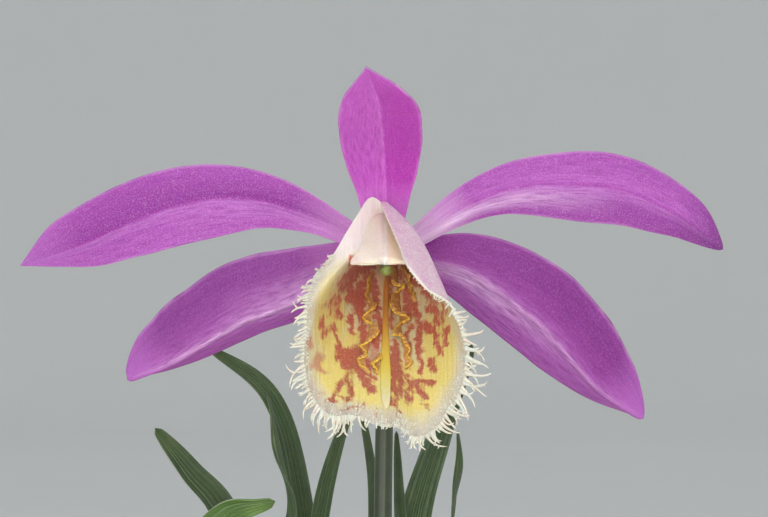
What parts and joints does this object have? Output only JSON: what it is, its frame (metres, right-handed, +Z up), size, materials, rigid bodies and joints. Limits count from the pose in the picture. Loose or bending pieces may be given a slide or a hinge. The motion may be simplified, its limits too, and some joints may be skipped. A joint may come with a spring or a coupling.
{
  "type": "potted pleione formosana",
  "caption": "Potted terrestrial orchid in flower: one fringed-lip bloom on a sheathed stem above pleated leaves and pseudobulbs, in a plain clay pot of bark compost",
  "frame": {"origin": "centre of the pot's underside", "axes": "+Z up the pot's axis; the flower faces -Y, so +X is to the viewer's right of it"},
  "size_m": [0.13, 0.13, 0.2218],
  "materials": {
    "terracotta": "unglazed fired clay, matt",
    "compost": "damp composted bark, matt",
    "bark": "bark chip, matt",
    "moss": "living moss, matt",
    "pseudobulb": "living plant tissue, satin",
    "root": "living root, matt",
    "sheath": "papery sheath, satin",
    "leaf": "living leaf, satin",
    "stem": "living stem, satin",
    "bract": "living bract, satin",
    "tepal": "living petal, satin with a fine sparkle",
    "lip": "living petal, cream with red-brown marks",
    "column": "living tissue, waxy",
    "pollinia": "waxy"
  },
  "bodies": {
    "root": {"pot": "terracotta", "drainage_crock": "terracotta", "compost": "compost", "bark_chip_1": "bark", "bark_chip_2": "bark", "bark_chip_3": "bark", "bark_chip_4": "bark", "bark_chip_5": "bark", "bark_chip_6": "bark", "moss_cushion_1": "moss", "moss_cushion_2": "moss", "pseudobulb_1": "pseudobulb", "pseudobulb_2": "pseudobulb", "pseudobulb_3": "pseudobulb", "pseudobulb_4": "pseudobulb", "pseudobulb_5": "pseudobulb", "root_tuft_1": "root", "root_tuft_2": "root", "root_tuft_3": "root", "root_tuft_4": "root", "root_tuft_5": "root", "flower_sheath_outer": "sheath", "flower_sheath_middle": "sheath", "flower_sheath_inner": "sheath", "leaf_sheath_1": "sheath", "leaf_sheath_2": "sheath", "leaf_sheath_3": "sheath", "leaf_sheath_4": "sheath", "leaf_sheath_5": "sheath", "leaf_sheath_6": "sheath", "leaf_sheath_7": "sheath", "leaf_sheath_8": "sheath", "leaf_1": "leaf", "leaf_2": "leaf", "leaf_3": "leaf", "leaf_4": "leaf", "leaf_5": "leaf", "leaf_6": "leaf", "leaf_7": "leaf", "leaf_8": "leaf", "leaf_9": "leaf", "scape": "stem", "ovary": "bract", "floral_bract": "bract", "dorsal_sepal": "tepal", "lateral_sepal_left": "tepal", "lateral_sepal_right": "tepal", "petal_left": "tepal", "petal_right": "tepal", "lip": "lip", "column": "column", "anther_cap": "column", "pollinia": "pollinia"}
  },
  "joints": []
}
